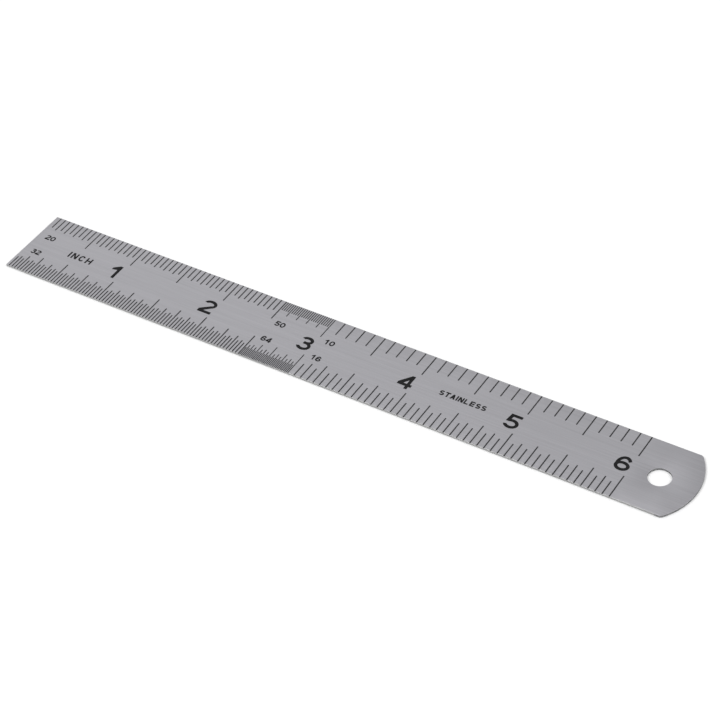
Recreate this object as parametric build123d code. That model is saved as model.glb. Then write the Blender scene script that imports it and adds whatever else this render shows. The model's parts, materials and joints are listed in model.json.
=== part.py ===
from build123d import *
from fractions import Fraction
from math import cos, radians, sin, sqrt
import os

# Six-inch steel ruler: an etched strip of spring steel with black enamel in its marks. Millimetres.
# The blade lies on its reverse face. +X runs from the square zero end to the rounded end with the hang
# hole, +Y to the upper graduated edge, and +Z up out of the reading face. The origin is at the middle
# of the blade's footprint, on the reverse face.

# ---- the blade ----
INCH = 25.4
LENGTH = 167.1
WIDTH = 0.75 * INCH
THICKNESS = 0.5
END_RADIUS = 15.0            # the arc across the far end
CORNER_RADIUS = 1.0          # where that arc meets the long edges
HOLE_RADIUS = 2.5
HOLE_FROM_ZERO = 6.25 * INCH
ETCH_DEPTH = 0.05            # depth of every etched mark
ZERO_X = -LENGTH / 2

# ---- the graduations ----
LINE = 0.30                  # width of a graduation line
FINE_LINE = 0.24             # width of a line on the closest scales
# A line is as long as the coarsest division that it falls on. Divisions are per inch or per millimetre.
UPPER_INCH_LINES = {2: 6.25, 10: 4.15, 20: 3.70, 50: 2.85}
LOWER_INCH_LINES = {2: 6.45, 4: 5.65, 8: 4.75, 16: 3.95, 32: 3.50, 64: 2.55}
METRIC_LINES = {Fraction(1, 10): 5.80, Fraction(1, 5): 4.75, 1: 3.60, 2: 2.60}
CHANGE = Fraction(5, 2)      # inches: the fine scales run from here
FINE_END = 3                 # inches: to here
INCHES = 6
MILLIMETRES = 150

# ---- numbers and words ----
CELL = 0.80                  # width of a figure or a letter, per unit of its height
NUMERAL_HEIGHT = 4.20
NUMERAL_PEN = 0.182          # stroke width, per unit of height
NUMERAL_GAP = 0.05           # how far an inch numeral stops short of its own line
SMALL_HEIGHT = 1.55
SMALL_PEN = 0.220
SMALL_SPACE = 0.06           # space between figures, per unit of height
UPPER_NUMBER_Y = 2.58        # middle of a small number above the blade's middle line
LOWER_NUMBER_Y = -2.85
NUMBER_AFTER_ZERO = 2.10     # a small number starts this far past the zero end
NUMBER_AFTER_LINE = 1.50     # or this far past the line where its scale starts
UNIT_HEIGHT = 1.90
UNIT_X = 10.65
UNIT_Y = 0.10
UNIT_PEN = 0.215
UNIT_SPACE = 0.235
STEEL_HEIGHT = 1.45
STEEL_X = 107.56
STEEL_Y = 0.60
STEEL_PEN = 0.240
STEEL_SPACE = 0.135
METRIC_HEIGHT = 2.80
METRIC_PEN = 0.150
METRIC_SPACE = 0.12
METRIC_UNIT_HEIGHT = 1.40
METRIC_UNIT_X = 1.20


# ---- strokes, in a box one unit high with its lower left corner at 0, 0 ----
def shape(*corners):
    """A filled polygon."""
    return make_face(Polyline(*corners, close=True))


def bar(start, end, pen):
    """A straight stroke with square ends."""
    run = Vector(*end) - Vector(*start)
    side = Vector(-run.Y, run.X).normalized() * (pen / 2)
    corners = [Vector(*start) + side, Vector(*start) - side, Vector(*end) - side, Vector(*end) + side]
    return shape(*corners)


def oval_band(rx, ry, pen):
    """An oval ring about 0, 0. rx and ry reach its outer edge."""
    return Ellipse(rx, ry, align=None) - Ellipse(rx - pen, ry - pen, align=None)


def ring(centre, rx, ry, pen):
    """A closed oval stroke."""
    return Pos(*centre) * oval_band(rx, ry, pen)


def arc(centre, rx, ry, pen, start, end):
    """An open oval stroke between two angles in degrees, counter-clockwise."""
    reach = 3 * max(rx, ry)
    steps = max(2, round((end - start) / 60))
    fan = [(0, 0)]
    for step in range(steps + 1):
        angle = radians(start + (end - start) * step / steps)
        fan.append((reach * cos(angle), reach * sin(angle)))
    return Pos(*centre) * (oval_band(rx, ry, pen) & shape(*fan))


def rim(centre, rx, ry, angle):
    """The point of an oval that lies in one direction from its middle, in degrees."""
    way = Vector(cos(radians(angle)), sin(radians(angle)))
    return Vector(*centre) + way / sqrt((way.X / rx) ** 2 + (way.Y / ry) ** 2)


# ---- figures ----
def zero(pen):
    return [ring((CELL / 2, 0.5), CELL / 2, 0.5, pen)]


def one(pen):
    right = 0.60
    flag = shape((0.10, 0.59), (0.10, 0.745), (right - 0.17, 1), (right, 1), (right, 0.66), (right - pen, 0.66))
    return [bar((right - pen / 2, 0), (right - pen / 2, 1), pen), flag]


def two(pen):
    middle = CELL / 2
    drop = 0.30
    bowl = (middle, 1 - drop)
    inner = rim(bowl, middle - pen, drop - pen, -45)
    outer = rim(bowl, middle, drop, -45)
    return [
        arc(bowl, middle, drop, pen, -45, 168),
        shape(inner, outer, (0.26, pen * 0.8), (0, pen * 0.5), (0, pen * 1.15)),
        bar((0, pen / 2), (CELL, pen / 2), pen),
    ]


def three(pen):
    middle = CELL / 2
    upper = 0.275
    lower = (1 + pen) / 2 - upper
    return [
        arc((middle, 1 - upper), middle - 0.04, upper, pen, -90, 165),
        arc((middle, lower), middle, lower, pen, -165, 90),
        bar((middle - 0.13, 2 * lower - pen / 2), (middle, 2 * lower - pen / 2), pen),
    ]


def four(pen):
    stem = 0.58
    beam = 0.28
    return [
        bar((stem, 0), (stem, 1), pen),
        bar((0, beam), (CELL, beam), pen),
        shape((0, beam - pen / 2), (0, beam + pen / 2), (stem - pen / 2, 1), (stem, 1), (stem, 0.78),
              (pen * 1.3, beam)),
    ]


def five(pen):
    middle = CELL / 2
    bowl = (middle, 0.33)
    shoulder = rim(bowl, middle - pen, 0.33 - pen, 138)
    return [
        bar((0.12, 1 - pen / 2), (CELL - 0.04, 1 - pen / 2), pen),
        shape((0.12, 1), (0.12 + pen, 1), (0.09 + pen, 0.56), shoulder, (0.05, 0.44)),
        arc(bowl, middle, 0.33, pen, -165, 138),
    ]


def six(pen):
    middle = CELL / 2
    bowl = 0.32
    return [
        ring((middle, bowl), middle, bowl, pen),
        arc((middle, 0.5), middle, 0.5, pen, 38, 180),
        bar((pen / 2, bowl), (pen / 2, 0.5), pen),
    ]


def seven(pen):
    return [
        bar((0, 1 - pen / 2), (CELL, 1 - pen / 2), pen),
        shape((0.20, 0), (0.20 + pen * 1.1, 0), (CELL, 1 - pen), (CELL - pen * 1.2, 1 - pen)),
    ]


def eight(pen):
    middle = CELL / 2
    upper = 0.27
    lower = (1 + pen) / 2 - upper
    return [ring((middle, 1 - upper), middle - 0.04, upper, pen), ring((middle, lower), middle, lower, pen)]


def nine(pen):
    """A six turned half way round."""
    return [Pos(CELL, 1) * Rot(0, 0, 180) * stroke for stroke in six(pen)]


# ---- letters ----
def letter_a(pen):
    middle = CELL / 2
    foot = pen * 1.1
    left = shape((0, 0), (foot, 0), (middle + foot / 2, 1), (middle - foot / 2, 1))
    right = shape((CELL - foot, 0), (CELL, 0), (middle + foot / 2, 1), (middle - foot / 2, 1))
    return [left, right, bar((0.16, 0.30), (CELL - 0.16, 0.30), pen)]


def letter_c(pen):
    return [arc((CELL / 2, 0.5), CELL / 2, 0.5, pen, 42, 318)]


def letter_e(pen):
    beams = [bar((0, height), (CELL * 0.92, height), pen) for height in (pen / 2, 0.5, 1 - pen / 2)]
    return [bar((pen / 2, 0), (pen / 2, 1), pen), *beams]


def letter_h(pen):
    stems = [bar((x, 0), (x, 1), pen) for x in (pen / 2, CELL - pen / 2)]
    return [*stems, bar((0, 0.5), (CELL, 0.5), pen)]


def letter_i(pen):
    return [bar((pen / 2, 0), (pen / 2, 1), pen)]


def letter_l(pen):
    return [bar((pen / 2, 0), (pen / 2, 1), pen), bar((0, pen / 2), (CELL * 0.88, pen / 2), pen)]


def letter_m(pen):
    foot = pen * 1.1
    stems = [bar((x, 0), (x, 1), pen) for x in (pen / 2, CELL - pen / 2)]
    left = shape((0, 1), (foot, 1), (CELL / 2 + foot / 2, 0.25), (CELL / 2 - foot / 2, 0.25))
    right = shape((CELL - foot, 1), (CELL, 1), (CELL / 2 + foot / 2, 0.25), (CELL / 2 - foot / 2, 0.25))
    return [*stems, left, right]


def letter_n(pen):
    stems = [bar((x, 0), (x, 1), pen) for x in (pen / 2, CELL - pen / 2)]
    return [*stems, shape((0, 1), (pen * 1.15, 1), (CELL, 0), (CELL - pen * 1.15, 0))]


def letter_s(pen):
    middle = CELL / 2
    upper = (1 + pen) / 4
    return [
        arc((middle, 1 - upper), middle - 0.02, upper, pen, 25, 270),
        arc((middle, upper), middle, upper, pen, -155, 90),
    ]


def letter_t(pen):
    return [bar((0, 1 - pen / 2), (CELL, 1 - pen / 2), pen), bar((CELL / 2, 0), (CELL / 2, 1), pen)]


FIGURES = {
    "0": zero, "1": one, "2": two, "3": three, "4": four, "5": five, "6": six, "7": seven, "8": eight,
    "9": nine, "A": letter_a, "C": letter_c, "E": letter_e, "H": letter_h, "I": letter_i, "L": letter_l,
    "M": letter_m, "N": letter_n, "S": letter_s, "T": letter_t,
}


def glyph_width(symbol, pen):
    """The width that a figure or letter takes, per unit of height."""
    return pen if symbol == "I" else CELL


def text_width(text, height, pen, space):
    letters = sum(glyph_width(symbol, pen) for symbol in text)
    return height * (letters + space * (len(text) - 1))


def text_fills(text, left, middle_y, height, pen, space):
    """One enamel solid for each figure or letter, in the reading face. left is from the zero end."""
    fills = []
    x = left
    for symbol in text:
        strokes = FIGURES[symbol](pen)
        outline = strokes[0]
        for stroke in strokes[1:]:
            outline = outline + stroke
        outline = scale(outline, by=height)
        outline.position = outline.position * height   # scale() works about the outline's own origin
        fill = extrude(outline, amount=ETCH_DEPTH, dir=(0, 0, 1))
        fills.append(Pos(ZERO_X + x, middle_y - height / 2, THICKNESS - ETCH_DEPTH) * fill)
        x += height * (glyph_width(symbol, pen) + space)
    return fills


# ---- graduations ----
def line_length(position, lengths):
    """The length of the line at a position, from the coarsest division that it falls on."""
    for division, length in lengths.items():
        if (position * division) % 1 == 0:
            return length
    raise ValueError(f"no division holds {position}")


def scale_fills(edge, unit, start, end, division, lengths, width):
    """Enamel lines from an edge of the reading face (+1 upper, -1 lower), after start and up to end."""
    fills = []
    for step in range(1, int((end - start) * division) + 1):
        position = start + Fraction(step, division)
        length = line_length(position, lengths)
        x = ZERO_X + float(position) * unit
        y = edge * (WIDTH / 2 - length / 2)
        fills.append(Pos(x, y, THICKNESS - ETCH_DEPTH / 2) * Box(width, length, ETCH_DEPTH))
    return fills


def inch_scales():
    """The six inch scales of the reading face, three to an edge."""
    upper = UPPER_INCH_LINES
    lower = LOWER_INCH_LINES
    return {
        "twentieths_scale": scale_fills(1, INCH, 0, CHANGE, 20, upper, LINE),
        "fiftieths_scale": scale_fills(1, INCH, CHANGE, FINE_END, 50, upper, FINE_LINE),
        "tenths_scale": scale_fills(1, INCH, FINE_END, INCHES, 10, upper, LINE),
        "thirty_seconds_scale": scale_fills(-1, INCH, 0, CHANGE, 32, lower, LINE),
        "sixty_fourths_scale": scale_fills(-1, INCH, CHANGE, FINE_END, 64, lower, FINE_LINE),
        "sixteenths_scale": scale_fills(-1, INCH, FINE_END, INCHES, 16, lower, LINE),
    }


def inch_numerals():
    """The figures 1 to 6, each ending at its own inch line."""
    numerals = {}
    width = CELL * NUMERAL_HEIGHT
    for number in range(1, INCHES + 1):
        left = number * INCH - NUMERAL_GAP - width
        fills = text_fills(str(number), left, 0, NUMERAL_HEIGHT, NUMERAL_PEN, 0)
        numerals[f"inch_numeral_{number}"] = fills
    return numerals


def division_numbers():
    """The small numbers that name each scale's divisions per inch, after the line where it starts."""
    numbers = {}
    starts = [NUMBER_AFTER_ZERO, float(CHANGE) * INCH + NUMBER_AFTER_LINE, FINE_END * INCH + NUMBER_AFTER_LINE]
    for left, above, below in zip(starts, ("20", "50", "10"), ("32", "64", "16")):
        for text, middle_y in ((above, UPPER_NUMBER_Y), (below, LOWER_NUMBER_Y)):
            fills = text_fills(text, left, middle_y, SMALL_HEIGHT, SMALL_PEN, SMALL_SPACE)
            numbers[f"division_number_{text}"] = fills
    return numbers


def words():
    """The unit, and the kind of steel."""
    return {
        "unit_word": text_fills("INCH", UNIT_X, UNIT_Y, UNIT_HEIGHT, UNIT_PEN, UNIT_SPACE),
        "steel_word": text_fills("STAINLESS", STEEL_X, STEEL_Y, STEEL_HEIGHT, STEEL_PEN, STEEL_SPACE),
    }


def metric_marks():
    """The metric marks, drawn as if on the reading face."""
    marks = {
        "half_millimetre_scale": scale_fills(1, 1, 0, MILLIMETRES, 2, METRIC_LINES, FINE_LINE),
        "millimetre_scale": scale_fills(-1, 1, 0, MILLIMETRES, 1, METRIC_LINES, LINE),
        "metric_unit_word": text_fills("MM", METRIC_UNIT_X, 0, METRIC_UNIT_HEIGHT, SMALL_PEN, METRIC_SPACE),
    }
    for number in range(10, MILLIMETRES + 1, 10):
        width = text_width(str(number), METRIC_HEIGHT, METRIC_PEN, METRIC_SPACE)
        left = number - NUMERAL_GAP - width
        fills = text_fills(str(number), left, 0, METRIC_HEIGHT, METRIC_PEN, METRIC_SPACE)
        marks[f"millimetre_numeral_{number}"] = fills
    return marks


def turned_over(marks):
    """Marks moved from the reading face to the reverse, with the zero end still the zero end."""
    turn = Pos(0, 0, THICKNESS) * Rot(180, 0, 0)
    return {name: [turn * fill for fill in fills] for name, fills in marks.items()}


# ---- the steel strip ----
def blank():
    """The stamped strip before etching: square zero end, rounded far end, hang hole."""
    half = WIDTH / 2
    arc_x = LENGTH / 2 - END_RADIUS + sqrt(END_RADIUS**2 - half**2)
    far_end = ThreePointArc((arc_x, -half), (LENGTH / 2, 0), (arc_x, half))
    sides = Polyline((arc_x, half), (ZERO_X, half), (ZERO_X, -half), (arc_x, -half))
    outline = make_face([far_end, sides])
    corners = [vertex for vertex in outline.vertices() if vertex.X > 0]
    outline = fillet(corners, CORNER_RADIUS)
    hole = Pos(ZERO_X + HOLE_FROM_ZERO, 0) * Circle(HOLE_RADIUS)
    return extrude(outline - hole, amount=THICKNESS, dir=(0, 0, 1))


def build():
    """Every node: the blade with its recesses, and the enamel that fills them."""
    reading_face = {**inch_scales(), **inch_numerals(), **division_numbers(), **words()}
    reverse_face = turned_over(metric_marks())
    blade = blank()
    for face in (reading_face, reverse_face):
        blade = blade - [fill for fills in face.values() for fill in fills]
    nodes = {"blade": blade}
    for name, fills in {**reading_face, **reverse_face}.items():
        nodes[name] = Compound(children=[solid for fill in fills for solid in fill.solids()])
    return nodes


os.makedirs("parts", exist_ok=True)
for node_name, node in build().items():
    node.label = node_name
    export_step(node, f"parts/{node_name}.step")
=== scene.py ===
import json
import math
import bpy
from mathutils import Matrix, Vector


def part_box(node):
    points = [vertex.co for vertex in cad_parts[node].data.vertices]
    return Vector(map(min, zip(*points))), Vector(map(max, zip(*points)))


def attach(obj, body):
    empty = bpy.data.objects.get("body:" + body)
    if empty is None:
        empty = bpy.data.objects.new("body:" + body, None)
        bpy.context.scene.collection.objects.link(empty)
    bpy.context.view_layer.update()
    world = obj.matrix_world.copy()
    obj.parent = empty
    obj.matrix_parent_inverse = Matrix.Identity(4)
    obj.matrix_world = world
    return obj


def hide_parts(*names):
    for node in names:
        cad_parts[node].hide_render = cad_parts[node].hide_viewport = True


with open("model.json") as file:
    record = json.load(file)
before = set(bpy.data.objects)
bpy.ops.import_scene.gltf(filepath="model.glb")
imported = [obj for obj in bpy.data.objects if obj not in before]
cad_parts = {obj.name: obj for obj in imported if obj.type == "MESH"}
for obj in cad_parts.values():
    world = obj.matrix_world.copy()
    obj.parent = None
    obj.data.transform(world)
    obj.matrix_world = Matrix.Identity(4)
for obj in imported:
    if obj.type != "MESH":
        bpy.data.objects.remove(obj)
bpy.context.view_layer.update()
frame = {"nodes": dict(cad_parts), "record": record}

# Six-inch steel ruler, lying on its reverse face. +X runs from the square zero end to the rounded end
# with the hang hole, +Y to the upper graduated edge, +Z out of the reading face. Sizes are in
# millimetres and shapes are built in millimetres; to_metres() brings each finished one to metres.
# Materials, lights, floor and camera are in metres.

# ---- sizes, from the blade and its hang hole ----
METRE = 1000.0
MILLIMETRE = 1.0
INCH = 25.4
BLADE_LOW, BLADE_HIGH = [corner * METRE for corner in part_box("blade")]
LENGTH = -2 * BLADE_LOW.x
WIDTH = BLADE_HIGH.y - BLADE_LOW.y
THICKNESS = BLADE_HIGH.z - BLADE_LOW.z
MOUNTS = {mount["name"]: mount for mount in frame["record"]["mounts"]}
HOLE_X = MOUNTS["hang_hole"]["pos_m"][0] * METRE
HOLE_RADIUS = MOUNTS["hang_hole"]["dims"]["r_mm"]
END_RADIUS = 15.0
CORNER_RADIUS = 1.0
ZERO_X = -LENGTH / 2
FAR_END_X = LENGTH / 2 - END_RADIUS + 10.0   # past here every wall belongs to the rounded end

# ---- how finely the blade is drawn ----
END_STEPS = 121               # points round the far end
EDGE_STEPS = 160              # points along each long edge
HOLE_STEPS = 96
ARRIS = 0.05                  # the rounding that tumbling leaves on every edge
ARRIS_STEPS = 3
ARRIS_ANGLE = math.radians(50)
ARRIS_REACH = 1.2 * ARRIS     # a face this near to an edge belongs to it
SHARP_ANGLE = math.radians(35)
LEVEL = 0.999                 # a face whose normal is this upright is level
NEARLY_LEVEL = 0.99
WALL = 0.6                    # a face whose normal is less upright than this is a wall

# ---- etched marks and their enamel ----
ETCH_DEPTH = 0.05
ENAMEL_SINK = 0.006           # the enamel lies this far below the steel's face
ENAMEL_DISH = 0.006           # and its middle this much lower again
ENAMEL_EDGE_GAP = 0.012       # it stops this short of the blade's edge
ENAMEL_EDGE_DROP = 0.030      # where it is worn down this far
LINE = 0.30
FINE_LINE = 0.24
LINE_UNEVENNESS = 0.025       # a line's length varies by up to this much
LINE_ROUNDING = 0.28          # how far the inner end is rounded, in line widths
LINE_SHOULDER = 0.07          # where the wear at the edge ends
LINE_BAR = (5, 3, 2)          # points across, along and up in the bar that each line starts from
CUTTER_LIFT = 0.1             # a cutter stands this far out of the face
CUTTER_OVERRUN = 0.2          # and this far past the edge
ON_DIVISION = 0.002           # a line this near to a division falls on it

# ---- distances for joining points ----
STRIP_WELD = 0.001
FIGURE_WELD = 0.0005
CUT_WELD = 0.0003
CAP_WELD = 0.0001
FACE_BAND = 0.0005            # a point this near to a level face is on it

# Each division, coarsest first, with the length of its lines in millimetres.
UPPER_INCH_LINES = {2: 6.25, 10: 4.15, 20: 3.70, 50: 2.85}
LOWER_INCH_LINES = {2: 6.45, 4: 5.65, 8: 4.75, 16: 3.95, 32: 3.50, 64: 2.55}
METRIC_LINES = {0.1: 5.80, 0.2: 4.75, 1: 3.60, 2: 2.60}

# Node, lines, unit, start, end, divisions, edge (+1 upper, -1 lower), width, reading face or reverse.
SCALES = [
    ("twentieths_scale", UPPER_INCH_LINES, INCH, 0.0, 2.5, 20, 1, LINE, "reading"),
    ("fiftieths_scale", UPPER_INCH_LINES, INCH, 2.5, 3.0, 50, 1, FINE_LINE, "reading"),
    ("tenths_scale", UPPER_INCH_LINES, INCH, 3.0, 6.0, 10, 1, LINE, "reading"),
    ("thirty_seconds_scale", LOWER_INCH_LINES, INCH, 0.0, 2.5, 32, -1, LINE, "reading"),
    ("sixty_fourths_scale", LOWER_INCH_LINES, INCH, 2.5, 3.0, 64, -1, FINE_LINE, "reading"),
    ("sixteenths_scale", LOWER_INCH_LINES, INCH, 3.0, 6.0, 16, -1, LINE, "reading"),
    ("half_millimetre_scale", METRIC_LINES, MILLIMETRE, 0.0, 150.0, 2, 1, FINE_LINE, "reverse"),
    ("millimetre_scale", METRIC_LINES, MILLIMETRE, 0.0, 150.0, 1, -1, LINE, "reverse"),
]

# ---- camera, lights and floor ----
CAMERA_PLACE = (0.21407, -0.29651, 0.33258)
CAMERA_TURN = (47.541, 3.542, 31.970)   # degrees about X, Y and Z
LENS = 116.1
SENSOR = 36.0
NEAREST = 0.01
ROOM_COLOUR = (0.995, 0.995, 1.0, 1.0)
# Strength at one side and at the other, and the direction's part along the axis where each begins.
ROOM_BY_HEIGHT = {"low": 0.70, "high": 0.95, "start": 0.0, "end": 0.9}
ROOM_BY_SIDE = {"low": 1.01, "high": 0.70, "start": -0.50, "end": -0.12}
# Name, place, diameter and power.
LIGHTS = [
    ("key", (-0.5, -0.7, 1.3), 1.0, 9),
    ("fill", (1.0, 0.5, 1.1), 0.9, 5),
    ("top", (0.1, 0.0, 1.8), 2.0, 1),
]
FLOOR_REACH = 4.0
FLOOR_DROP = -0.00002         # just clear of the blade's resting face
FLOOR_COLOUR = (0.93, 0.93, 0.93, 1)
FLOOR_ROUGHNESS = 0.9

# ---- colours, from darkest to lightest ----
BRUSHED_TONES = (0.406, 0.402, 0.424), (0.486, 0.481, 0.507)
GROUND_TONES = (0.34, 0.34, 0.34), (0.45, 0.45, 0.45)
# The sheared walls' tones are darker partly from the cut itself and partly as painted shade, for the dark
# line along the stamped end.
SHEARED_AND_SHADED_TONES = (0.16, 0.16, 0.165), (0.36, 0.36, 0.365)
ETCHED_TONES = (0.06, 0.06, 0.062), (0.14, 0.14, 0.145)
FIGURE_TONES = (0.004, 0.004, 0.0045), (0.012, 0.012, 0.013)
LINE_TONES = (0.018, 0.018, 0.019), (0.045, 0.045, 0.047)


# ---- short ways to build node trees ----
class Sheet:
    """A node tree with short ways to add a node, feed a socket and do a sum."""

    def __init__(self, tree):
        self.tree = tree

    def add(self, kind, **settings):
        node = self.tree.nodes.new(kind)
        for name, value in settings.items():
            setattr(node, name, value)
        return node

    def feed(self, socket, value):
        if isinstance(value, bpy.types.NodeSocket):
            self.tree.links.new(value, socket)
        else:
            socket.default_value = value

    def make(self, kind, inputs, output=0, **settings):
        """A node with its inputs fed by name or identifier. Gives one of its outputs."""
        node = self.add(kind, **settings)
        for name, value in inputs.items():
            socket = next(item for item in node.inputs if name in (item.name, item.identifier))
            self.feed(socket, value)
        return node.outputs[output]

    def calc(self, operation, *values):
        node = self.add("ShaderNodeMath", operation=operation)
        for socket, value in zip(node.inputs, values):
            self.feed(socket, value)
        return node.outputs[0]

    def blend(self, first, second, share):
        """A weighted sum of two numbers, where share is the second one's part."""
        return self.calc("ADD", self.calc("MULTIPLY", first, 1.0 - share),
                         self.calc("MULTIPLY", second, share))

    def vector(self, x=0.0, y=0.0, z=0.0):
        return self.make("ShaderNodeCombineXYZ", {"X": x, "Y": y, "Z": z})

    def apart(self, vector):
        """The X, Y and Z sockets of a vector."""
        node = self.add("ShaderNodeSeparateXYZ")
        self.feed(node.inputs["Vector"], vector)
        return node.outputs

    def field(self, kind):
        return self.add(kind).outputs[0]

    def choose(self, condition, otherwise, chosen):
        """The chosen number where the condition holds, or else the other one."""
        return self.make("GeometryNodeSwitch", {"Switch": condition, "False": otherwise, "True": chosen},
                         input_type="FLOAT")

    def compare(self, operation, a, b):
        return self.make("FunctionNodeCompare", {"A": a, "B": b}, operation=operation, data_type="FLOAT")

    def join(self, *shapes):
        node = self.add("GeometryNodeJoinGeometry")
        for shape in shapes:
            self.feed(node.inputs[0], shape)
        return node.outputs[0]

    def capture(self, shape, values):
        """Keeps numbers on a shape's points. Gives the node that has them as outputs."""
        node = self.add("GeometryNodeCaptureAttribute", domain="POINT")
        for label, value in values.items():
            node.capture_items.new("FLOAT", label)
            self.feed(node.inputs[label], value)
        self.feed(node.inputs["Geometry"], shape)
        return node.outputs

    def weld(self, shape, distance):
        return self.make("GeometryNodeMergeByDistance", {"Geometry": shape, "Distance": distance})

    def move(self, shape, place):
        return self.make("GeometryNodeSetPosition", {"Geometry": shape, "Position": place})

    def turn_faces(self, shape, chosen=True):
        return self.make("GeometryNodeFlipFaces", {"Mesh": shape, "Selection": chosen})

    def finish(self, shape, material, result):
        """Realizes a shape, gives it its material and hands it to the tree's output."""
        shape = self.make("GeometryNodeRealizeInstances", {"Geometry": shape})
        shape = self.make("GeometryNodeSetMaterial", {"Geometry": shape, "Material": material})
        self.feed(result.inputs["Geometry"], shape)
        return self.tree


def shape_tree(name, inputs):
    """A Geometry Nodes tree with named inputs. Gives its sheet, its input sockets and its output node."""
    tree = bpy.data.node_groups.new(name, "GeometryNodeTree")
    kinds = {float: "NodeSocketFloat", int: "NodeSocketInt"}
    for label, kind in inputs.items():
        tree.interface.new_socket(name=label, in_out="INPUT", socket_type=kinds.get(kind, kind))
    tree.interface.new_socket(name="Geometry", in_out="OUTPUT", socket_type="NodeSocketGeometry")
    sheet = Sheet(tree)
    given = sheet.add("NodeGroupInput")
    result = sheet.add("NodeGroupOutput")
    return sheet, {label: given.outputs[label] for label in inputs}, result


def carrier(name, tree, values):
    """An object whose shape is the tree's, with every input set before it is first evaluated."""
    piece = bpy.data.objects.new(name, bpy.data.meshes.new(name))
    add_shaping(piece, tree, values)
    bpy.context.scene.collection.objects.link(piece)
    return piece


def add_shaping(piece, tree, values):
    modifier = piece.modifiers.new(tree.name, "NODES")
    modifier.node_group = tree
    for item in tree.interface.items_tree:
        if item.in_out == "INPUT" and item.name in values:
            modifier[item.identifier] = values[item.name]


def settle(piece):
    """Turns a piece's modifiers into a plain mesh."""
    graph = bpy.context.evaluated_depsgraph_get()
    mesh = bpy.data.meshes.new_from_object(piece.evaluated_get(graph))
    piece.modifiers.clear()
    piece.data = mesh
    mesh.name = piece.name
    return piece


def to_metres(piece):
    piece.data.transform(Matrix.Scale(1 / METRE, 4))
    return piece


# ---- the studio ----
def place_camera():
    data = bpy.data.cameras.new("camera")
    data.lens = LENS
    data.sensor_width = SENSOR
    data.clip_start = NEAREST
    camera = bpy.data.objects.new("camera", data)
    camera.location = CAMERA_PLACE
    camera.rotation_euler = [math.radians(angle) for angle in CAMERA_TURN]
    bpy.context.scene.collection.objects.link(camera)
    bpy.context.scene.camera = camera


def soft_light(name, place, size, power):
    """A round lamp that faces the middle of the blade."""
    data = bpy.data.lights.new(name, "AREA")
    data.shape = "DISK"
    data.size = size
    data.energy = power
    light = bpy.data.objects.new(name, data)
    light.location = place
    light.rotation_euler = (-Vector(place)).to_track_quat("-Z", "Y").to_euler()
    bpy.context.scene.collection.objects.link(light)


def light_studio():
    """A white room, a little darker towards the horizon and to one side, with three large soft lights."""
    scene = bpy.context.scene
    scene.view_settings.view_transform = "Standard"
    world = bpy.data.worlds.new("studio")
    scene.world = world
    world.use_nodes = True
    world.node_tree.nodes.clear()
    sheet = Sheet(world.node_tree)
    direction = sheet.apart(sheet.add("ShaderNodeTexCoord").outputs["Generated"])
    rise = spread(sheet, direction["Z"], **ROOM_BY_HEIGHT)
    side = spread(sheet, direction["X"], **ROOM_BY_SIDE)
    strength = sheet.calc("MULTIPLY", rise, side)
    shade = sheet.make("ShaderNodeBackground", {"Color": ROOM_COLOUR, "Strength": strength})
    sheet.feed(sheet.add("ShaderNodeOutputWorld").inputs["Surface"], shade)
    for name, place, size, power in LIGHTS:
        soft_light(name, place, size, power)


def lay_floor():
    mesh = bpy.data.meshes.new("floor")
    corners = [(x * FLOOR_REACH, y * FLOOR_REACH, FLOOR_DROP)
               for x, y in ((-1, -1), (1, -1), (1, 1), (-1, 1))]
    mesh.from_pydata(corners, [], [(0, 1, 2, 3)])
    floor = bpy.data.objects.new("floor", mesh)
    material = bpy.data.materials.new("pale_paper")
    material.use_nodes = True
    shader = material.node_tree.nodes["Principled BSDF"]
    shader.inputs["Base Color"].default_value = FLOOR_COLOUR
    shader.inputs["Roughness"].default_value = FLOOR_ROUGHNESS
    mesh.materials.append(material)
    bpy.context.scene.collection.objects.link(floor)


# ---- finishes ----
def finish_sheet(name, metal=True):
    """A new material, its sheet and its shader node."""
    material = bpy.data.materials.new(name)
    material.use_nodes = True
    sheet = Sheet(material.node_tree)
    shader = material.node_tree.nodes["Principled BSDF"]
    if metal:
        shader.inputs["Metallic"].default_value = 1.0
    return material, sheet, shader


def noise(sheet, scale, stretch=(1, 1, 1), detail=2.0, shift=(0, 0, 0)):
    """Noise in object space, drawn out along an axis by a stretch below one."""
    place = sheet.add("ShaderNodeTexCoord").outputs["Object"]
    mapped = sheet.make("ShaderNodeMapping", {"Vector": place, "Scale": stretch, "Location": shift})
    return sheet.make("ShaderNodeTexNoise", {"Vector": mapped, "Scale": scale, "Detail": detail})


def spread(sheet, value, low, high, start=0.3, end=0.7):
    """A value between start and end, spread between low and high."""
    return sheet.make("ShaderNodeMapRange", {"Value": value, "From Min": start, "From Max": end,
                                             "To Min": low, "To Max": high})


def tint(sheet, value, tones):
    """A colour between the darkest and the lightest tone."""
    dark, light = tones
    mix = sheet.add("ShaderNodeMix", data_type="RGBA")
    factor, first, second = mix.inputs[0], mix.inputs[6], mix.inputs[7]
    sheet.feed(factor, value)
    sheet.feed(first, (*dark, 1))
    sheet.feed(second, (*light, 1))
    return mix.outputs[2]


def bump(sheet, height, depth, strength=1.0, under=None):
    inputs = {"Height": height, "Distance": depth, "Strength": strength}
    if under is not None:
        inputs["Normal"] = under
    return sheet.make("ShaderNodeBump", inputs)


def brush_shader(sheet, shader):
    """Lets the light spread across the brushing, which runs along the blade."""
    shader.inputs["Anisotropic"].default_value = 0.4
    shader.inputs["Anisotropic Rotation"].default_value = 0.25
    along = sheet.make("ShaderNodeTangent", {}, direction_type="UV_MAP", uv_map="brush")
    sheet.feed(shader.inputs["Tangent"], along)


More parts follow.
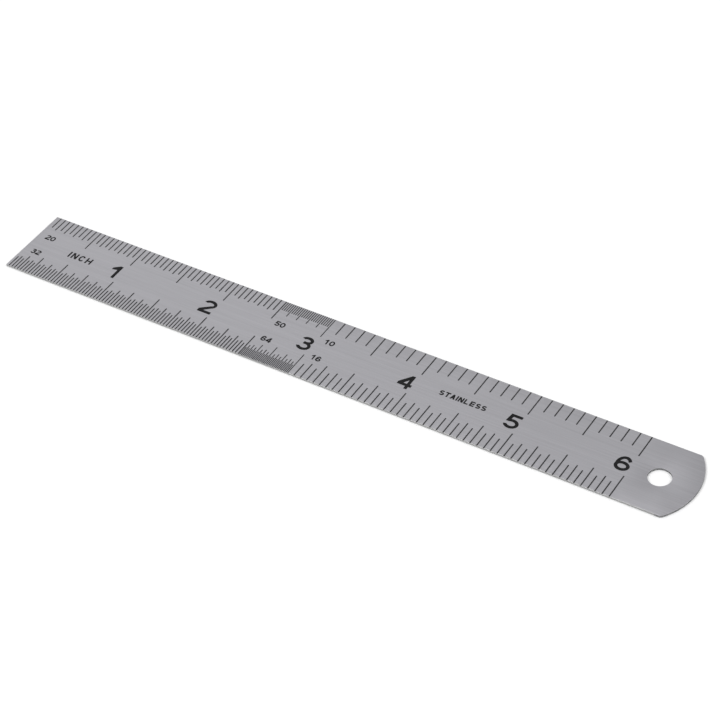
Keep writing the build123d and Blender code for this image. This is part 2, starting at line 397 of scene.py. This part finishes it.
def brushed_steel():
    """The reading face and the reverse: satin, brushed lengthwise, with clouding and hairline scratches."""
    material, sheet, shader = finish_sheet("brushed_steel")
    grain = noise(sheet, scale=9000, stretch=(0.012, 1, 1), detail=3.0)
    coarse_grain = noise(sheet, scale=2600, stretch=(0.006, 1, 1), shift=(3, 1, 0))
    clouds = noise(sheet, scale=55, stretch=(0.5, 1, 1), shift=(0, 5, 2))
    scratches = noise(sheet, scale=1500, stretch=(0.05, 1.0, 1), detail=1.0, shift=(1, 2, 3))
    streaks = sheet.blend(grain, coarse_grain, share=0.4)
    tone = spread(sheet, sheet.blend(streaks, clouds, share=0.14), low=0, high=1)
    sheet.feed(shader.inputs["Base Color"], tint(sheet, tone, BRUSHED_TONES))
    rough = sheet.calc("ADD", spread(sheet, streaks, low=0.30, high=0.42),
                       spread(sheet, clouds, low=-0.008, high=0.008))
    sheet.feed(shader.inputs["Roughness"], rough)
    brush_shader(sheet, shader)
    lines = bump(sheet, streaks, depth=0.0000015)
    hair = spread(sheet, scratches, low=0.0, high=1.0, start=0.70, end=0.78)
    sheet.feed(shader.inputs["Normal"], bump(sheet, hair, depth=-0.000003, strength=0.6, under=lines))
    return material


def ground_edge():
    """The two long edges, ground straight: finer and brighter than the faces."""
    material, sheet, shader = finish_sheet("ground_edge")
    grain = noise(sheet, scale=7000, stretch=(0.02, 1, 1), shift=(7, 0, 0))
    sheet.feed(shader.inputs["Base Color"], tint(sheet, grain, GROUND_TONES))
    sheet.feed(shader.inputs["Roughness"], spread(sheet, grain, low=0.24, high=0.38))
    sheet.feed(shader.inputs["Normal"], bump(sheet, grain, depth=0.000002))
    return material


def sheared_and_shaded_edge():
    """Where the punch cut the strip, at the ends and in the hang hole: rougher, with upright drag marks,
    and darker, partly from the cut itself and partly as painted shade for the dark line along the stamped
    end.
    """
    material, sheet, shader = finish_sheet("sheared_and_shaded_edge")
    drag = noise(sheet, scale=6000, stretch=(1, 1, 0.06))
    break_line = noise(sheet, scale=1200, stretch=(1, 1, 0.4), detail=3.0, shift=(4, 4, 0))
    tone = spread(sheet, sheet.calc("MULTIPLY", drag, break_line), low=0, high=1, start=0.15, end=0.4)
    sheet.feed(shader.inputs["Base Color"], tint(sheet, tone, SHEARED_AND_SHADED_TONES))
    sheet.feed(shader.inputs["Roughness"], spread(sheet, drag, low=0.38, high=0.6))
    sheet.feed(shader.inputs["Normal"], bump(sheet, drag, depth=0.000006))
    return material


def etched_steel():
    """The walls and floor of the etched marks: dull grey."""
    material, sheet, shader = finish_sheet("etched_steel")
    grain = noise(sheet, scale=12000, detail=3.0)
    sheet.feed(shader.inputs["Base Color"], tint(sheet, grain, ETCHED_TONES))
    sheet.feed(shader.inputs["Roughness"], spread(sheet, grain, low=0.5, high=0.75))
    sheet.feed(shader.inputs["Normal"], bump(sheet, grain, depth=0.000004))
    return material


def black_enamel(name, tones):
    """Baked enamel in the marks: near-black, faintly uneven, half matt."""
    material, sheet, shader = finish_sheet(name, metal=False)
    patches = noise(sheet, scale=900, detail=3.0, shift=(2, 2, 2))
    pores = noise(sheet, scale=9000)
    tone = spread(sheet, sheet.blend(patches, pores, share=0.3), low=0, high=1)
    sheet.feed(shader.inputs["Base Color"], tint(sheet, tone, tones))
    sheet.feed(shader.inputs["Roughness"], spread(sheet, pores, low=0.42, high=0.62))
    shader.inputs["Specular IOR Level"].default_value = 0.12
    sheet.feed(shader.inputs["Normal"], bump(sheet, pores, depth=0.000003))
    return material


# ---- graduation lines ----
def line_points(sheet, given, divisions):
    """One point for each line, with that line's length kept on it."""
    per_unit = given["Divisions"]
    span = sheet.calc("SUBTRACT", given["End"], given["Start"])
    count = sheet.calc("ROUND", sheet.calc("MULTIPLY", span, per_unit))
    index = sheet.field("GeometryNodeInputIndex")
    steps = sheet.calc("ADD", sheet.calc("MULTIPLY", given["Start"], per_unit),
                       sheet.calc("ADD", index, 1.0))
    position = sheet.calc("DIVIDE", steps, per_unit)
    length = given[f"Line at {divisions[-1]}"]
    for division in reversed(divisions[:-1]):
        share = sheet.calc("MULTIPLY", position, float(division))
        off = sheet.calc("ABSOLUTE", sheet.calc("SUBTRACT", share, sheet.calc("ROUND", share)))
        on_it = sheet.compare("LESS_THAN", off, ON_DIVISION)
        length = sheet.choose(on_it, length, given[f"Line at {division}"])
    wobble = sheet.make("FunctionNodeRandomValue",
                        {"Min_001": -1.0, "Max_001": 1.0, "ID": index, "Seed": given["Seed"]}, 1,
                        data_type="FLOAT")
    length = sheet.calc("ADD", length, sheet.calc("MULTIPLY", wobble, given["Unevenness"]))
    x = sheet.calc("ADD", given["Zero X"], sheet.calc("MULTIPLY", position, given["Unit"]))
    points = sheet.make("GeometryNodeMeshLine", {"Count": count}, mode="OFFSET")
    return sheet.capture(sheet.move(points, sheet.vector(x)), {"length": length})


def line_bar(sheet):
    """The bar that a line starts from: along runs from 0 at the edge to 1 at the inner end."""
    across, along, up = LINE_BAR
    block = sheet.make("GeometryNodeMeshCube", {"Size": (1, 1, 1), "Vertices X": across,
                                                "Vertices Y": along, "Vertices Z": up})
    corner = sheet.apart(sheet.field("GeometryNodeInputPosition"))
    share = sheet.calc("ADD", corner["Y"], 0.5)
    return sheet.capture(block, {"across": corner["X"], "along": share, "up": corner["Z"]})


def line_corner(sheet, given, length, bar):
    """The true place of each corner of a line."""
    across, along, up = [bar[label] for label in ("across", "along", "up")]
    here = sheet.apart(sheet.field("GeometryNodeInputPosition"))
    line_x = sheet.calc("SUBTRACT", here["X"], across)
    side = sheet.calc("MULTIPLY", across, given["Line Width"])
    reach = sheet.calc("MULTIPLY", sheet.calc("MULTIPLY", across, across), 4.0)   # 0 mid-line, 1 at a side
    rounding = sheet.calc("MULTIPLY", sheet.calc("POWER", reach, 2.0),
                          sheet.calc("MULTIPLY", given["Line Width"], LINE_ROUNDING))
    inner = sheet.calc("SUBTRACT", length, rounding)
    at_inner_end = sheet.compare("GREATER_THAN", along, 0.75)
    at_edge = sheet.compare("LESS_THAN", along, 0.25)
    from_edge = sheet.choose(at_inner_end, given["Shoulder"], inner)
    from_edge = sheet.choose(at_edge, from_edge, given["Edge Gap"])
    y = sheet.calc("MULTIPLY", given["Edge"], sheet.calc("SUBTRACT", given["Half Width"], from_edge))
    hollow = sheet.calc("MULTIPLY", sheet.calc("SUBTRACT", 1.0, reach), given["Dish"])
    top = sheet.calc("SUBTRACT", given["Top"], hollow)
    top = sheet.choose(at_edge, top, sheet.calc("SUBTRACT", given["Top"], given["Edge Drop"]))
    z = sheet.choose(sheet.compare("GREATER_THAN", up, 0.0), given["Bottom"], top)
    return sheet.vector(sheet.calc("ADD", line_x, side), y, z)


def line_tree(name, divisions):
    """Lines along one edge. A line is as long as the coarsest division that it falls on."""
    inputs = {"Unit": float, "Start": float, "End": float, "Divisions": int, "Edge": float,
              "Zero X": float, "Half Width": float, "Line Width": float, "Top": float, "Bottom": float,
              "Dish": float, "Edge Gap": float, "Shoulder": float, "Edge Drop": float,
              "Unevenness": float, "Seed": int, "Enamel": "NodeSocketMaterial"}
    inputs.update({f"Line at {division}": float for division in divisions})
    sheet, given, result = shape_tree(name, inputs)
    points = line_points(sheet, given, divisions)
    bar = line_bar(sheet)
    lines = sheet.make("GeometryNodeInstanceOnPoints",
                       {"Points": points["Geometry"], "Instance": bar["Geometry"]})
    lines = sheet.make("GeometryNodeRealizeInstances", {"Geometry": lines})
    lines = sheet.move(lines, line_corner(sheet, given, points["length"], bar))
    drawn_upwards = sheet.compare("GREATER_THAN", given["Edge"], 0.0)
    lines = sheet.turn_faces(lines, drawn_upwards)   # those bars come out mirrored
    return sheet.finish(lines, given["Enamel"], result)


LINE_TREES = {}


def lines_for(scale):
    """The tree for a scale's lines, which scales with the same line lengths share."""
    lengths = scale[1]
    key = tuple(lengths)
    if key not in LINE_TREES:
        LINE_TREES[key] = line_tree(f"lines_to_{key[-1]}", list(lengths))
    return LINE_TREES[key]


def turn_over(piece):
    """Moves a piece from the reading face to the reverse: half a turn about the blade's long axis."""
    for vertex in piece.data.vertices:
        vertex.co.y = -vertex.co.y
        vertex.co.z = THICKNESS - vertex.co.z


def scale_lines(scale, seed, suffix, shape):
    """One scale's lines as a plain mesh in millimetres, shaped as enamel or as a cutter."""
    node, lengths, unit, start, end, divisions, edge, width, face = scale
    values = {f"Line at {division}": length for division, length in lengths.items()}
    values.update({"Unit": unit, "Start": start, "End": end, "Divisions": divisions, "Edge": float(edge),
                   "Zero X": ZERO_X, "Half Width": WIDTH / 2, "Line Width": width,
                   "Unevenness": LINE_UNEVENNESS, "Seed": seed, "Shoulder": LINE_SHOULDER,
                   "Bottom": THICKNESS - ETCH_DEPTH})
    values.update(shape)
    piece = settle(carrier(node + suffix, lines_for(scale), values))
    if face == "reverse":
        turn_over(piece)
    return piece


def enamel_lines(scale, seed, enamel):
    """The enamel in one scale's lines."""
    shape = {"Top": THICKNESS - ENAMEL_SINK, "Dish": ENAMEL_DISH, "Edge Gap": ENAMEL_EDGE_GAP,
             "Edge Drop": ENAMEL_EDGE_DROP, "Enamel": enamel}
    return to_metres(scale_lines(scale, seed, "_lines", shape))


def line_recesses(scale, seed):
    """The same lines as cutters that stand out of the face and past the edge."""
    shape = {"Top": THICKNESS + CUTTER_LIFT, "Dish": 0.0, "Edge Gap": -CUTTER_OVERRUN, "Edge Drop": 0.0}
    return scale_lines(scale, seed, "_recess", shape)


# ---- the blade ----
def far_end(sheet, given, corner, index):
    """The place of a point round the far end, by the way that its edge faces there."""
    corner_x, corner_y, corner_angle, end_x = corner
    share = sheet.calc("DIVIDE", index, sheet.calc("SUBTRACT", given["End Steps"], 1.0))
    facing = sheet.calc("MULTIPLY", sheet.calc("SUBTRACT", share, 0.5), math.pi)
    on_corner = sheet.compare("GREATER_THAN", sheet.calc("ABSOLUTE", facing), corner_angle)
    way_x, way_y = sheet.calc("COSINE", facing), sheet.calc("SINE", facing)
    radius = sheet.choose(on_corner, given["End Radius"], given["Corner Radius"])
    middle_x = sheet.choose(on_corner, end_x, corner_x)
    signed_y = sheet.calc("MULTIPLY", sheet.calc("SIGN", facing), corner_y)
    middle_y = sheet.choose(on_corner, 0.0, signed_y)
    return (sheet.calc("ADD", middle_x, sheet.calc("MULTIPLY", radius, way_x)),
            sheet.calc("ADD", middle_y, sheet.calc("MULTIPLY", radius, way_y)))


def long_edges(sheet, given, past, corner_x, half_length, half_width):
    """The place of a point along the upper edge to the zero end, and back along the lower edge."""
    edge_steps = given["Edge Steps"]
    back = sheet.compare("GREATER_THAN", past, sheet.calc("SUBTRACT", edge_steps, 0.5))
    out_share = sheet.calc("DIVIDE", sheet.calc("ADD", past, 1.0), edge_steps)
    back_share = sheet.calc("SUBTRACT", 2.0, sheet.calc("DIVIDE", past, edge_steps))
    from_end = sheet.choose(back, out_share, back_share)
    straight = sheet.calc("ADD", corner_x, half_length)
    x = sheet.calc("SUBTRACT", corner_x, sheet.calc("MULTIPLY", from_end, straight))
    y = sheet.choose(back, half_width, sheet.calc("MULTIPLY", half_width, -1.0))
    return x, y


def strip_outline(sheet, given):
    """The closed outline of the strip as a curve."""
    half_length = sheet.calc("MULTIPLY", given["Length"], 0.5)
    half_width = sheet.calc("MULTIPLY", given["Width"], 0.5)
    end_radius, corner_radius = given["End Radius"], given["Corner Radius"]
    end_x = sheet.calc("SUBTRACT", half_length, end_radius)
    corner_y = sheet.calc("SUBTRACT", half_width, corner_radius)
    inner_radius = sheet.calc("SUBTRACT", end_radius, corner_radius)
    run = sheet.calc("SQRT", sheet.calc("SUBTRACT", sheet.calc("MULTIPLY", inner_radius, inner_radius),
                                        sheet.calc("MULTIPLY", corner_y, corner_y)))
    corner_x = sheet.calc("ADD", end_x, run)
    corner = (corner_x, corner_y, sheet.calc("ARCTAN2", corner_y, run), end_x)
    index = sheet.field("GeometryNodeInputIndex")
    end_place = far_end(sheet, given, corner, index)
    past = sheet.calc("SUBTRACT", index, given["End Steps"])
    edge_place = long_edges(sheet, given, past, corner_x, half_length, half_width)
    on_edge = sheet.compare("GREATER_THAN", past, -0.5)
    x, y = [sheet.choose(on_edge, *places) for places in zip(end_place, edge_place)]
    count = sheet.calc("ADD", given["End Steps"], sheet.calc("MULTIPLY", given["Edge Steps"], 2.0))
    outline = sheet.make("GeometryNodeMeshLine", {"Count": count}, mode="OFFSET")
    outline = sheet.move(outline, sheet.vector(x, y))
    outline = sheet.make("GeometryNodeMeshToCurve", {"Mesh": outline})
    return sheet.make("GeometryNodeSetSplineCyclic", {"Geometry": outline, "Cyclic": True})


def blade_tree():
    """The stamped strip: square zero end, an arc with rounded corners at the far end, and a hang hole."""
    inputs = {"Length": float, "Width": float, "Thickness": float, "End Radius": float,
              "Corner Radius": float, "Hole Radius": float, "Hole X": float, "Hole Steps": int,
              "End Steps": int, "Edge Steps": int, "Steel": "NodeSocketMaterial"}
    sheet, given, result = shape_tree("stamped_strip", inputs)
    outline = strip_outline(sheet, given)
    hole = sheet.make("GeometryNodeCurvePrimitiveCircle",
                      {"Resolution": given["Hole Steps"], "Radius": given["Hole Radius"]}, mode="RADIUS")
    hole_place = sheet.vector(given["Hole X"])
    hole = sheet.make("GeometryNodeTransform", {"Geometry": hole, "Translation": hole_place})
    face = sheet.make("GeometryNodeFillCurve", {"Curve": sheet.join(outline, hole)}, mode="TRIANGLES")
    raised = sheet.make("GeometryNodeExtrudeMesh",
                        {"Mesh": face, "Offset": sheet.vector(0.0, 0.0, 1.0),
                         "Offset Scale": given["Thickness"], "Individual": False}, mode="FACES")
    strip = sheet.weld(sheet.join(raised, sheet.turn_faces(face)), STRIP_WELD)
    return sheet.finish(strip, given["Steel"], result)


def recap_tree():
    """Takes the two level faces off a cut blade and fills them again between all their outlines."""
    inputs = {"Geometry": "NodeSocketGeometry", "Thickness": float, "Steel": "NodeSocketMaterial"}
    sheet, given, result = shape_tree("recapped_strip", inputs)
    whole = sheet.weld(given["Geometry"], CUT_WELD)
    height = sheet.apart(sheet.field("GeometryNodeInputPosition"))["Z"]
    facing = sheet.apart(sheet.field("GeometryNodeInputNormal"))["Z"]
    half = sheet.calc("MULTIPLY", given["Thickness"], 0.5)
    from_middle = sheet.calc("SUBTRACT", height, half)
    outermost = sheet.calc("SUBTRACT", half, FACE_BAND)
    at_face = sheet.calc("GREATER_THAN", sheet.calc("ABSOLUTE", from_middle), outermost)
    level = sheet.calc("GREATER_THAN", sheet.calc("ABSOLUTE", facing), NEARLY_LEVEL)
    walls = sheet.make("GeometryNodeDeleteGeometry",
                       {"Geometry": whole, "Selection": sheet.calc("MULTIPLY", at_face, level)},
                       domain="FACE", mode="ALL")
    faces_beside = sheet.field("GeometryNodeInputMeshEdgeNeighbors")
    rim = sheet.compare("LESS_THAN", faces_beside, 1.5)
    upper, lower = [refilled(sheet, walls, rim, from_middle, side) for side in (1.0, -1.0)]
    lift = sheet.vector(0.0, 0.0, given["Thickness"])
    upper = sheet.make("GeometryNodeSetPosition", {"Geometry": upper, "Offset": lift})
    strip = sheet.weld(sheet.join(walls, upper, sheet.turn_faces(lower)), CAP_WELD)
    return sheet.finish(strip, given["Steel"], result)


def refilled(sheet, walls, rim, from_middle, side):
    """A level face between the open rims on one side of the blade, filled at height zero."""
    here = sheet.calc("GREATER_THAN", sheet.calc("MULTIPLY", from_middle, side), 0.0)
    loops = sheet.make("GeometryNodeMeshToCurve",
                       {"Mesh": walls, "Selection": sheet.calc("MULTIPLY", rim, here)})
    return sheet.make("GeometryNodeFillCurve", {"Curve": loops}, mode="TRIANGLES")


def figure_recess(node):
    """A cutter from one figure's or word's enamel, stood out of the face it is on."""
    source = frame["nodes"][node].data
    corners = [vertex.co * METRE for vertex in source.vertices]
    mesh = bpy.data.meshes.new(node + "_recess")
    mesh.from_pydata(corners, [], [tuple(face.vertices) for face in source.polygons])
    piece = bpy.data.objects.new(node + "_recess", mesh)
    bpy.context.scene.collection.objects.link(piece)
    weld = piece.modifiers.new("weld", "WELD")
    weld.merge_threshold = FIGURE_WELD
    settle(piece)
    on_reading_face = piece.data.vertices[0].co.z > THICKNESS / 2
    for vertex in piece.data.vertices:
        if on_reading_face and vertex.co.z > THICKNESS - ETCH_DEPTH / 2:
            vertex.co.z += CUTTER_LIFT
        elif not on_reading_face and vertex.co.z < ETCH_DEPTH / 2:
            vertex.co.z -= CUTTER_LIFT
    return piece


def joined(pieces, name):
    """Several meshes as one object."""
    bpy.ops.object.select_all(action="DESELECT")
    for piece in pieces:
        piece.select_set(True)
    bpy.context.view_layer.objects.active = pieces[0]
    bpy.ops.object.join()
    pieces[0].name = name
    return pieces[0]


def add_cuts(blade, cutters):
    """Rounds the blade's edges, then takes the cutters out of it."""
    ease = blade.modifiers.new("arris", "BEVEL")
    ease.width = ARRIS
    ease.segments = ARRIS_STEPS
    ease.limit_method = "ANGLE"
    ease.angle_limit = ARRIS_ANGLE
    ease.use_clamp_overlap = False
    ease.loop_slide = False
    etch = blade.modifiers.new("etch", "BOOLEAN")
    etch.operation = "DIFFERENCE"
    etch.solver = "MANIFOLD"
    etch.object = cutters


def etched_blade(cutters, steel, edge, sheared, etched):
    """The strip with its edges eased and every mark etched into it."""
    values = {"Length": LENGTH, "Width": WIDTH, "Thickness": THICKNESS, "End Radius": END_RADIUS,
              "Corner Radius": CORNER_RADIUS, "Hole Radius": HOLE_RADIUS, "Hole X": HOLE_X,
              "Hole Steps": HOLE_STEPS, "End Steps": END_STEPS, "Edge Steps": EDGE_STEPS, "Steel": steel}
    blade = carrier("steel_blade", blade_tree(), values)
    add_cuts(blade, cutters)
    add_shaping(blade, recap_tree(), {"Thickness": THICKNESS, "Steel": steel})
    settle(blade)
    bpy.data.objects.remove(cutters)
    mesh = blade.data
    mesh.materials.clear()
    for material in (steel, edge, sheared, etched):
        mesh.materials.append(material)
    for polygon in mesh.polygons:
        polygon.material_index = blade_finish(polygon.center, polygon.normal)
        polygon.use_smooth = abs(polygon.normal.z) < LEVEL
    mesh.set_sharp_from_angle(angle=SHARP_ANGLE)
    add_brush_direction(mesh)
    return to_metres(blade)


def blade_finish(centre, normal):
    """Which finish a face of the blade has: 0 brushed, 1 ground edge, 2 sheared edge, 3 etched."""
    brushed, ground, sheared, etched = range(4)
    if abs(normal.z) > LEVEL:
        near_face = min(centre.z, THICKNESS - centre.z)
        return brushed if near_face < ETCH_DEPTH / 2 else etched
    at_zero = centre.x < ZERO_X + ARRIS_REACH
    in_hole = Vector((centre.x - HOLE_X, centre.y)).length < HOLE_RADIUS + ARRIS_REACH
    # The end and hole walls get the sheared steel, whose darker colour is partly painted shade.
    if in_hole or at_zero or centre.x > FAR_END_X:
        return sheared if abs(normal.z) < WALL else brushed
    if abs(centre.y) > WIDTH / 2 - ARRIS_REACH:
        return ground
    return etched


def add_brush_direction(mesh):
    """A UV map that runs along the blade, so that the brushing has a direction."""
    layer = mesh.uv_layers.new(name="brush")
    for loop in mesh.loops:
        place = mesh.vertices[loop.vertex_index].co
        layer.data[loop.index].uv = (place.x / LENGTH + 0.5, (place.y + place.z) / LENGTH + 0.5)


# ---- assembly ----
def dress_figure(node, enamel):
    """The carried-over figures and words get the enamel."""
    mesh = frame["nodes"][node].data
    mesh.materials.clear()
    mesh.materials.append(enamel)


place_camera()
light_studio()
lay_floor()

STEEL, EDGE, SHEARED_AND_SHADED, ETCHED = brushed_steel(), ground_edge(), sheared_and_shaded_edge(), etched_steel()
FIGURE_ENAMEL = black_enamel("black_enamel", FIGURE_TONES)
LINE_ENAMEL = black_enamel("rubbed_enamel", LINE_TONES)
scale_nodes = [scale[0] for scale in SCALES]
figure_nodes = [name for name in sorted(frame["nodes"]) if name != "blade" and name not in scale_nodes]

recesses = [line_recesses(scale, seed) for seed, scale in enumerate(SCALES)]
recesses += [figure_recess(node) for node in figure_nodes]
blade = etched_blade(joined(recesses, "recesses"), STEEL, EDGE, SHEARED_AND_SHADED, ETCHED)
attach(blade, "root")
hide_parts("blade")

for seed, scale in enumerate(SCALES):
    lines = enamel_lines(scale, seed, LINE_ENAMEL)
    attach(lines, "root")
    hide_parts(scale[0])

for node in figure_nodes:
    dress_figure(node, FIGURE_ENAMEL)
